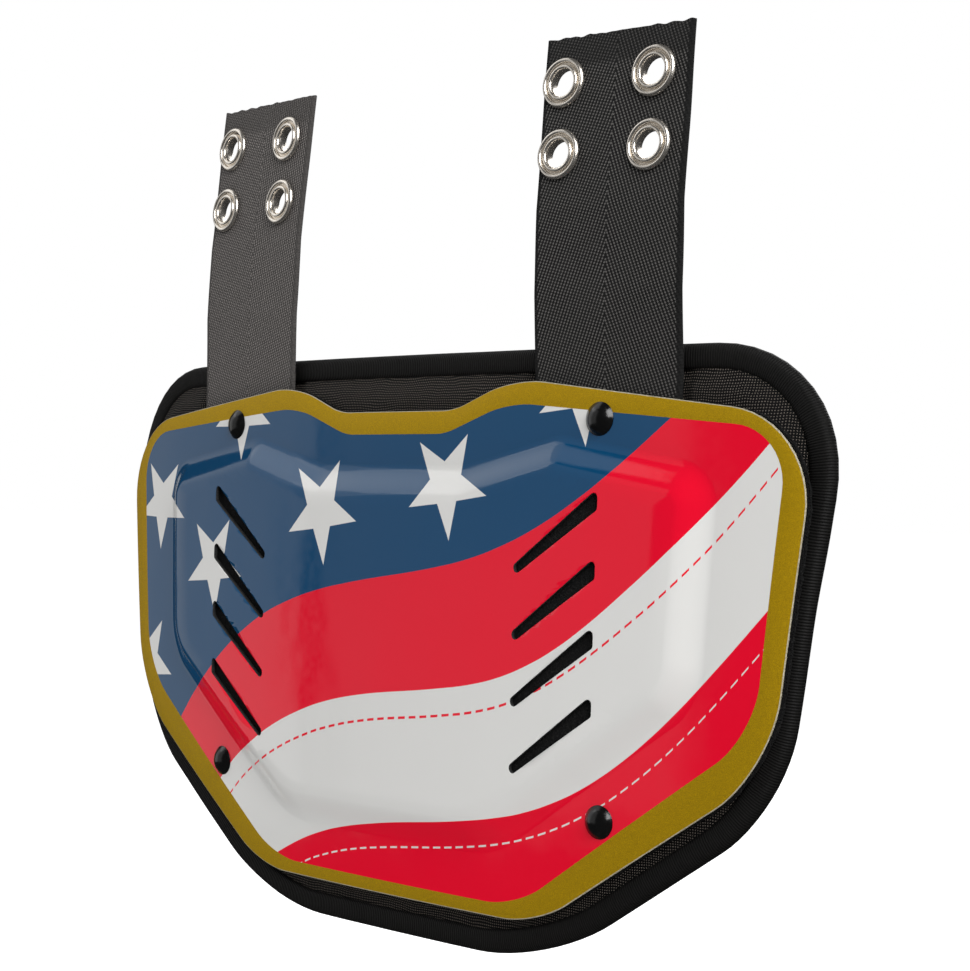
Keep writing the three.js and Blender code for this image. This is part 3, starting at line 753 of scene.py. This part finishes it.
def make_shell():
    bm = bmesh.new()
    outer = open_loop(bm, outline_face(bm, SHELL_CORNERS))
    gold_loop = open_loop(bm, outline_face(bm, GOLD_CORNERS, like=SHELL_CORNERS))
    for face in bmesh.ops.bridge_loops(bm, edges=outer + gold_loop)["faces"]:
        face.material_index = 1
    foot = outline_face(bm, FOOT_CORNERS, like=SHELL_CORNERS)
    flange = bmesh.ops.bridge_loops(bm, edges=gold_loop + foot.edges[:])
    for face in flange["faces"]:
        face.material_index = 0
    bmesh.ops.subdivide_edges(bm, edges=[e for e in flange["edges"] if e.calc_length() > 3], cuts=3)
    widen_rim(bm, 0.6, 0.3)
    widen_rim(bm, 0.4, 0.7)
    raised_panel(bm, foot)
    for row in range(SLOT_ROWS):
        cut_opening(bm, slot_outline(row))
        cut_opening(bm, mirrored(slot_outline(row)))
    bend(bm)
    face_towards(bm, Vector((0, -1, 0)))
    sides = ("print", "gold", "edge", "core", "core", "core")
    shell = piece("printed_shell", bm, [FINISHES[side] for side in sides], ["plate"])
    wall = shell.modifiers.new("Wall", "SOLIDIFY")
    wall.thickness = SHELL_WALL * MM
    wall.offset = -1
    wall.material_offset = 3
    wall.material_offset_rim = 3
    return shell


def make_foam():
    bm = bmesh.new()
    proud = [(x * 1.003, z * 1.004, radius) for x, z, radius in SHELL_CORNERS]
    rim = outline_face(bm, proud, spacing=1.2, like=SHELL_CORNERS)
    outer = open_loop(bm, rim)
    foot = outline_face(bm, FOOT_CORNERS, spacing=1.2, like=SHELL_CORNERS)
    bmesh.ops.bridge_loops(bm, edges=outer + foot.edges[:])
    raised_panel(bm, foot, steps=FOAM_STEP_RINGS)
    for row in range(SLOT_ROWS):
        cut_opening(bm, slot_outline(row, FOAM_SLOT_SHRINK))
        cut_opening(bm, mirrored(slot_outline(row, FOAM_SLOT_SHRINK)))
    face_towards(bm, Vector((0, -1, 0)))
    border = [edge for edge in bm.edges if edge.is_boundary and edge.calc_length() > 1]
    bmesh.ops.subdivide_edges(bm, edges=border, cuts=1)
    made = bmesh.ops.extrude_face_region(bm, geom=bm.faces[:])
    back = [part for part in made["geom"] if isinstance(part, bmesh.types.BMVert)]
    front = list(set(bm.verts) - set(back))
    bmesh.ops.translate(bm, verts=front, vec=(0, FOAM_FRONT + 0.05, 0))
    for vert in back:
        vert.co.y = FOAM_BACK
    walls = {vert for edge in bm.edges if edge.calc_face_angle(0) > 1 for vert in edge.verts}
    for vert in walls:
        ragged = noise.noise_vector(vert.co * 0.7) * 0.35 + noise.noise_vector(vert.co * 2.1) * 0.25
        vert.co.x += ragged.x
        vert.co.z += ragged.z
    bend(bm)
    bmesh.ops.recalc_face_normals(bm, faces=bm.faces[:])
    return piece("foam_sheet", bm, [FINISHES["foam"]], ["plate_foam"], shade=False)


def pad_edge_points():
    """The pad's outline as a run of points, each with the distance along it."""
    bm = bmesh.new()
    face = outline_face(bm, PAD_CORNERS, spacing=6, arc_steps=16)
    points = [Vector((v.co.x, v.co.z)) for v in face.verts]
    bm.free()
    travelled = [0.0]
    for i, point in enumerate(points):
        travelled.append(travelled[-1] + (points[(i + 1) % len(points)] - point).length)
    return points, travelled


PAD_EDGE, PAD_EDGE_LENGTHS = pad_edge_points()


def pad_rim(x, z):
    """Distance to the pad's outline, and the place along it."""
    here = Vector((x, z))
    best = (1e9, 0.0)
    for i, start in enumerate(PAD_EDGE):
        run = PAD_EDGE[(i + 1) % len(PAD_EDGE)] - start
        share = min(max((here - start).dot(run) / run.length_squared, 0), 1)
        distance = (start + run * share - here).length
        if distance < best[0]:
            best = (distance, PAD_EDGE_LENGTHS[i] + share * run.length)
    return best


def rim_setback(z):
    """The pad's rim is set back where the straps cross it."""
    return RIM_SETBACK * smooth(0, STRAP_ROOT, z)


def strap_dent(x, z):
    """How far the pad's front gives way under a strap."""
    beside = smooth(STRAP_WIDTH / 2 + 5, STRAP_WIDTH / 2 + 0.5, abs(abs(x) - STRAP_MIDDLE + 0.6))
    return STRAP_DENT * beside * smooth(STRAP_TAIL_Z - 5, STRAP_TAIL_Z + 2, z)


def make_pad():
    bm = bmesh.new()
    inset = PAD_BLANK_INSET
    smaller = [(x - inset, z - math.copysign(inset, z), radius - inset) for x, z, radius in PAD_CORNERS]
    face = outline_face(bm, smaller)
    made = bmesh.ops.extrude_face_region(bm, geom=[face])
    back = [part for part in made["geom"] if isinstance(part, bmesh.types.BMVert)]
    bmesh.ops.translate(bm, verts=back, vec=(0, PAD_THICKNESS - 1.5, 0))
    bmesh.ops.triangulate(bm, faces=[f for f in bm.faces if len(f.verts) > 4])
    bmesh.ops.recalc_face_normals(bm, faces=bm.faces[:])
    bmesh.ops.translate(bm, verts=bm.verts[:], vec=(0, -PAD_THICKNESS / 2 + 0.75, 0))
    bmesh.ops.scale(bm, verts=bm.verts[:], vec=(MM, MM, MM))
    mesh = bpy.data.meshes.new("pad_blank")
    bm.to_mesh(mesh)
    bm.free()
    blank = bpy.data.objects.new("pad_blank", mesh)
    bpy.context.scene.collection.objects.link(blank)
    remesh = blank.modifiers.new("Even", "REMESH")
    remesh.mode = "VOXEL"
    remesh.voxel_size = CLOTH_CELL * MM
    flat = applied(blank)
    cushion = puffed(flat)
    bm = bmesh.new()
    bm.from_mesh(cushion)
    bpy.data.objects.remove(blank)
    bmesh.ops.scale(bm, verts=bm.verts[:], vec=(1 / MM, 1 / MM, 1 / MM))
    bmesh.ops.subdivide_edges(bm, edges=bm.edges[:], cuts=1, use_grid_fill=True, smooth=0.6)
    for vert in bm.verts:
        x, z = vert.co.x, vert.co.z
        inward, _ = pad_rim(x, z)
        full = smooth(3.5, TAPE_WIDTH + PAD_SHOULDER, inward)
        half = PAD_THICKNESS / 2
        share = min(max(vert.co.y / half, -1.25), 1.35)
        groove = SEAM_GROOVE * math.exp(-((inward - TAPE_WIDTH - 2.4) / 0.9) ** 2)
        middle = TAPE_MIDDLE + (PAD_FRONT + half - TAPE_MIDDLE) * full + (1 - full) * rim_setback(z)
        reach = 1.0 + (half - 1.0) * full - groove
        y = middle + share * reach
        front = PAD_FRONT + (1 - full) * rim_setback(z) + strap_dent(x, z)
        vert.co.y = max(y, front) + behind(x, z)
    bmesh.ops.smooth_vert(bm, verts=bm.verts[:], factor=0.3, use_axis_x=True, use_axis_y=True,
                          use_axis_z=True)
    bmesh.ops.recalc_face_normals(bm, faces=bm.faces[:])
    pad = piece("mesh_pad", bm, [FINISHES["mesh"]], ["back_pad"])
    return pad


def applied(thing):
    """A new mesh of the object with its modifiers applied."""
    bpy.context.view_layer.update()
    graph = bpy.context.evaluated_depsgraph_get()
    return bpy.data.meshes.new_from_object(thing.evaluated_get(graph))


def puffed(mesh):
    """Blows a flat cushion up with cloth under pressure, its rim held, and caps how far it moves."""
    cushion = bpy.data.objects.new("pad_cloth", mesh)
    bpy.context.scene.collection.objects.link(cushion)
    held = cushion.vertex_groups.new(name="rim")
    rim = [v.index for v in mesh.vertices if pad_rim(v.co.x / MM, v.co.z / MM)[0] < TAPE_WIDTH + 2]
    held.add(rim, 1.0, "REPLACE")
    start = [v.co.copy() for v in mesh.vertices]
    cloth = cushion.modifiers.new("Cloth", "CLOTH")
    cloth.settings.use_pressure = True
    cloth.settings.uniform_pressure_force = 4
    cloth.settings.effector_weights.gravity = 0
    cloth.settings.vertex_group_mass = "rim"
    scene = bpy.context.scene
    for step in range(CLOTH_FRAMES):
        scene.frame_set(step + 1)
    blown = applied(cushion)
    scene.frame_set(1)
    cap = PUFF_CAP * MM
    for vertex, origin in zip(blown.vertices, start):
        move = vertex.co - origin
        if move.length > cap:
            vertex.co = origin + move * (cap / move.length)
    bpy.data.objects.remove(cushion)
    return blown


def make_tape():
    bm = bmesh.new()
    face = outline_face(bm, PAD_CORNERS, spacing=3)
    half = TAPE_ROLL / 2
    rows = [(0.0, 0.0), (0.12, 0.30), (0.35, 0.52), (0.7, 0.72), (1.2, 0.88), (1.9, 0.97), (2.9, 1.0),
            (4.2, 0.98), (5.4, 0.92), (6.3, 0.82), (6.9, 0.66), (TAPE_WIDTH, 0.4)]
    for (last, low), (inset, high) in zip(rows, rows[1:]):
        ring_in(bm, face, inset - last, -(high - low) * half)
    bmesh.ops.delete(bm, geom=[face], context="FACES_ONLY")
    made = bmesh.ops.duplicate(bm, geom=bm.faces[:])
    other = [part for part in made["geom"] if isinstance(part, bmesh.types.BMVert)]
    bmesh.ops.scale(bm, verts=other, vec=(1, -1, 1))
    bmesh.ops.remove_doubles(bm, verts=bm.verts[:], dist=1e-4)
    lips = [edge for edge in bm.edges if edge.is_boundary]
    bmesh.ops.bridge_loops(bm, edges=lips)
    uv = bm.loops.layers.uv.new("along")
    total = PAD_EDGE_LENGTHS[-1]
    travelled = {vert: pad_rim(vert.co.x, vert.co.z)[1] for vert in bm.verts}
    for face in bm.faces:
        places = [travelled[loop.vert] for loop in face.loops]
        wraps = max(places) - min(places) > total / 2
        for loop, along in zip(face.loops, places):
            loop[uv].uv = (along + total if wraps and along < total / 2 else along, loop.vert.co.y)
    for vert in bm.verts:
        wave = noise.noise(Vector((vert.co.x, 0, vert.co.z)) * 0.05) * 0.35
        vert.co.y = vert.co.y * (1 + wave * 0.25) + TAPE_MIDDLE + rim_setback(vert.co.z) + wave
    bend(bm)
    bmesh.ops.recalc_face_normals(bm, faces=bm.faces[:])
    return piece("binding_tape", bm, [FINISHES["tape"]], ["edge_tape"])


# How a strap leans above the shell: the share of its free height, and of its lean
STRAP_LEAN = [(0, 0), (0.25, -0.12), (0.5, 0), (1, 1)]


def lean_at(up):
    for (low, low_back), (high, high_back) in zip(STRAP_LEAN, STRAP_LEAN[1:]):
        if up <= high:
            return low_back + (high_back - low_back) * (up - low) / (high - low)
    return 1 + (up - 1) * 2


def strap_point(side, across, z):
    """A point on a strap's front face, `across` from its middle towards the outside."""
    up = max(0, (z - STRAP_ROOT) / (MEAN_STRAP_TOP - STRAP_ROOT))
    slope = 2 * SWEEP_DEPTH * STRAP_MIDDLE / SHELL_HALF_WIDTH**2
    hollow = SWEEP_DEPTH * (across / SHELL_HALF_WIDTH) ** 2 * max(0, 1 - up / 0.25)
    depth = behind(STRAP_MIDDLE, min(z, STRAP_ROOT)) + slope * across + hollow
    depth += lean_at(up) * STRAP_LEAN_BACK + STRAP_FRONT
    return Vector((side * (STRAP_MIDDLE - up * STRAP_LEAN_IN + across), depth, z))


def eyelet_seats(side, top):
    seats = []
    for level in range(2):
        for place in range(2):
            across = side * ((place - 0.5) * EYELET_ACROSS - EYELET_SHIFT)
            seats.append((across, top - EYELET_TO_END - level * EYELET_DOWN))
    return seats


def make_strap(name, side):
    top = STRAP_TOPS[name]
    columns, rows = 56, 110
    bm = bmesh.new()
    bmesh.ops.create_grid(bm, x_segments=columns, y_segments=rows, size=1)
    half = STRAP_WIDTH / 2
    for vert in bm.verts:
        u, v = vert.co.x, vert.co.y
        across = half * u * (1.25 - 0.25 * u * u)
        vert.co = (across, 0, STRAP_TAIL_Z + (top - STRAP_TAIL_Z) * (v + 1) / 2)
    for across, z in eyelet_seats(side, top):
        cut_opening(bm, round_outline(Vector((across, z)), EYELET_CUT_RADIUS))
    face_towards(bm, Vector((0, -1, 0)))
    made = bmesh.ops.extrude_face_region(bm, geom=bm.faces[:])
    back = {part for part in made["geom"] if isinstance(part, bmesh.types.BMVert)}
    uv = bm.loops.layers.uv.new("weave")
    for face in bm.faces:
        for loop in face.loops:
            loop[uv].uv = (loop.vert.co.x, loop.vert.co.z)
    for vert in bm.verts:
        across, z = vert.co.x, vert.co.z
        over = min(max((abs(across) - half + STRAP_ROUNDING) / STRAP_ROUNDING, 0), 1)
        inward = STRAP_THICKNESS / 2 * (1 - math.sqrt(max(1 - over * over, 0)))
        frayed = noise.noise(Vector((across * 0.35, side * 7, 0))) * 0.5 * smooth(top - 2, top, z)
        ripple = noise.noise(Vector((across * 0.03, side * 3, z * 0.035))) * 0.5 * smooth(STRAP_ROOT, 110, z)
        point = strap_point(side, across, z)
        shift = STRAP_THICKNESS - inward if vert in back else inward
        vert.co = (point.x, point.y + shift + ripple, point.z + frayed)
    bmesh.ops.remove_doubles(bm, verts=bm.verts[:], dist=1e-3)
    bmesh.ops.recalc_face_normals(bm, faces=bm.faces[:])
    webbing = webbing_finish("Webbing " + name, top, *YARN_COLOURS_AND_PAINTED_SHEEN[name])
    strap = piece("webbing_" + name, bm, [webbing], ["strap_" + name])
    strap.data.set_sharp_from_angle(angle=math.radians(60))
    return strap


def turned_piece(name, profile, point, normal, material, node):
    """Spins a profile of radius and height about the seat's normal."""
    bm = bmesh.new()
    verts = [bm.verts.new((radius, 0, height)) for radius, height in profile]
    edges = [bm.edges.new(pair) for pair in zip(verts, verts[1:])]
    bmesh.ops.spin(bm, geom=verts + edges, cent=(0, 0, 0), axis=(0, 0, 1), angle=2 * math.pi,
                   steps=TURNED_SIDES, use_merge=True, use_duplicate=False)
    bmesh.ops.remove_doubles(bm, verts=bm.verts[:], dist=1e-4)
    bmesh.ops.recalc_face_normals(bm, faces=bm.faces[:])
    turn = normal.to_track_quat("Z", "Y").to_matrix().to_4x4()
    bmesh.ops.transform(bm, matrix=Matrix.Translation(point) @ turn, verts=bm.verts[:])
    made = piece(name, bm, [material], [node])
    rounder = made.modifiers.new("Rounder", "SUBSURF")
    rounder.levels = 1
    rounder.render_levels = 1


# Radius and height above the seat
EYELET_PROFILE = [
    (4.15, -2.0), (4.0, -1.0), (3.9, 0.0), (3.95, 0.8), (4.15, 1.3), (4.6, 1.5), (5.05, 1.3), (5.25, 0.8),
    (5.35, 0.3), (5.55, 0.15), (5.75, 0.3), (5.85, 0.8), (6.1, 1.25), (6.5, 1.4), (6.95, 1.2), (7.25, 0.75),
    (7.3, 0.35), (7.1, 0.08), (5.5, 0.05), (4.85, 0.0), (4.85, -1.65), (6.4, -1.7), (6.7, -1.95), (6.4, -2.3),
    (5.2, -2.75), (4.5, -2.7), (4.2, -2.4), (4.15, -2.0),
]
RIVET_PROFILE = [
    (0, 2.35), (1.3, 2.22), (2.5, 1.85), (3.5, 1.25), (4.2, 0.6), (4.6, 0.22), (4.8, 0.1), (4.75, 0.02),
    (4.0, 0.0), (2.2, 0.0), (2.2, -12.6), (5.6, -12.6), (6.0, -12.8), (5.8, -13.3), (4.6, -13.6), (0, -13.6),
]
TURNED_SIDES = 48


def make_eyelets(name, side):
    top = STRAP_TOPS[name]
    labels = [("upper", "left"), ("upper", "right"), ("lower", "left"), ("lower", "right")]
    for (across, z), (level, place) in zip(eyelet_seats(side, top), labels):
        point = strap_point(side, across, z)
        beside = strap_point(side, across + 1, z) - point
        above = strap_point(side, across, z + 1) - point
        normal = beside.cross(above).normalized()
        if normal.y > 0:
            normal = -normal
        label = f"{name}_{level}_{place}"
        turned_piece(f"ring_{label}", EYELET_PROFILE, point, normal, FINISHES["nickel"],
                     f"eyelet_{label}")


def make_rivets():
    for level, (x, z) in RIVETS.items():
        for place, side in (("left", -1), ("right", 1)):
            point = Vector((side * x, behind(x, z), z))
            turned_piece(f"stud_{level}_{place}", RIVET_PROFILE, point, sheet_normal(side * x, z),
                         FINISHES["rivet"], f"rivet_{level}_{place}")


# The camera, at the photograph's angle: degrees, millimetres from the shell's middle, and pixels
CAMERA_AZIMUTH = 47.334
CAMERA_ELEVATION = 1.19
CAMERA_ROLL = 1.443
CAMERA_DISTANCE = 663.385
CAMERA_RIGHT = -0.009
CAMERA_UP = 21.29
FOCAL_LENGTH = 2192.0
PICTURE_WIDTH = 970
PICTURE_MIDDLE = (485, 485.5)
LENS_MIDDLE = (387.144, 549.978)
SENSOR_WIDTH = 36

# The stage, in metres in the part's frame
FLOOR_Z = -0.36
LIGHTS_AIM_Z = -0.12
SKY_STRENGTH = 0.03


def make_camera():
    azimuth = math.radians(CAMERA_AZIMUTH)
    elevation = math.radians(CAMERA_ELEVATION)
    roll = math.radians(CAMERA_ROLL)
    back = Vector((math.sin(azimuth) * math.cos(elevation), -math.cos(azimuth) * math.cos(elevation),
                   math.sin(elevation)))
    level_right = Vector((0, 0, 1)).cross(back).normalized()
    level_up = back.cross(level_right)
    right = math.cos(roll) * level_right + math.sin(roll) * level_up
    up = -math.sin(roll) * level_right + math.cos(roll) * level_up
    place = back * CAMERA_DISTANCE + right * CAMERA_RIGHT + up * CAMERA_UP - Vector((0, HANG_Y, HANG_Z))
    data = bpy.data.cameras.new("camera")
    data.sensor_fit = "HORIZONTAL"
    data.sensor_width = SENSOR_WIDTH
    data.lens = FOCAL_LENGTH / PICTURE_WIDTH * SENSOR_WIDTH
    data.shift_x = (PICTURE_MIDDLE[0] - LENS_MIDDLE[0]) / PICTURE_WIDTH
    data.shift_y = (LENS_MIDDLE[1] - PICTURE_MIDDLE[1]) / PICTURE_WIDTH
    camera = bpy.data.objects.new("camera", data)
    turn = Matrix((right, up, back)).transposed().to_4x4()
    camera.matrix_world = Matrix.Translation(place * MM) @ turn
    bpy.context.scene.collection.objects.link(camera)
    bpy.context.scene.camera = camera


def soft_light(name, azimuth, elevation, distance, width, height, power, shown=True):
    """A soft box that looks at the part's middle from an azimuth, 0 in front, positive to the right.
    One that isn't shown gives light and no highlight."""
    a, e = math.radians(azimuth), math.radians(elevation)
    away = Vector((math.sin(a) * math.cos(e), -math.cos(a) * math.cos(e), math.sin(e)))
    data = bpy.data.lights.new(name, "AREA")
    data.shape = "RECTANGLE"
    data.size = width
    data.size_y = height
    data.energy = power
    light = bpy.data.objects.new(name, data)
    light.location = Vector((0, 0, LIGHTS_AIM_Z)) + away * distance
    light.rotation_mode = "QUATERNION"
    light.rotation_quaternion = away.to_track_quat("Z", "Y")
    light.visible_camera = False
    light.visible_glossy = shown
    bpy.context.scene.collection.objects.link(light)


def make_stage():
    bm = bmesh.new()
    bmesh.ops.create_grid(bm, x_segments=1, y_segments=1, size=30)
    bmesh.ops.translate(bm, verts=bm.verts[:], vec=(0, 0, FLOOR_Z))
    mesh = bpy.data.meshes.new("floor")
    bm.to_mesh(mesh)
    bm.free()
    floor = bpy.data.objects.new("floor", mesh)
    bpy.context.scene.collection.objects.link(floor)
    pale = Finish("Pale floor")
    pale.set(Base_Color=(0.6, 0.6, 0.6, 1), Roughness=0.9)
    pale.set(Emission_Color=(1, 1, 1, 1), Emission_Strength=1.0)
    mesh.materials.append(pale.material)
    floor.visible_glossy = False
    floor.visible_diffuse = False
    floor.visible_shadow = False
    world = bpy.data.worlds.new("studio")
    bpy.context.scene.world = world
    world.use_nodes = True
    nodes, links = world.node_tree.nodes, world.node_tree.links
    sky = nodes["Background"]
    seen = nodes.new("ShaderNodeBackground")
    seen.inputs["Color"].default_value = (1, 1, 1, 1)
    seen.inputs["Strength"].default_value = 1.0
    sky.inputs["Color"].default_value = (0.95, 0.97, 1, 1)
    sky.inputs["Strength"].default_value = SKY_STRENGTH
    path = nodes.new("ShaderNodeLightPath")
    mix = nodes.new("ShaderNodeMixShader")
    links.new(path.outputs["Is Camera Ray"], mix.inputs["Fac"])
    links.new(sky.outputs[0], mix.inputs[1])
    links.new(seen.outputs[0], mix.inputs[2])
    links.new(mix.outputs[0], nodes["World Output"].inputs["Surface"])
    bpy.context.scene.view_settings.view_transform = "Standard"
    soft_light("window_near", -37, 14, 1.3, 0.75, 1.37, 1.4)
    soft_light("window_far", -68, 14, 1.3, 0.66, 1.37, 2.2)
    soft_light("window_high", -88, 50, 1.2, 1.5, 0.8, 3.4)
    soft_light("behind", 190, 30, 1.6, 1.2, 0.9, 14)
    soft_light("front", 63, 34, 1.8, 1.2, 1.3, 38)
    soft_light("fill_right", 105, 10, 1.6, 0.7, 1.0, 2.0)
    soft_light("table_side", -85, -40, 0.7, 0.9, 0.9, 2.6, shown=False)
    soft_light("table_front", 15, -58, 0.9, 1.3, 1.0, 5.4, shown=False)


make_camera()
make_stage()
make_shell()
make_foam()
make_pad()
make_tape()
for strap_name, strap_side in (("left", -1), ("right", 1)):
    make_strap(strap_name, strap_side)
    make_eyelets(strap_name, strap_side)
make_rivets()
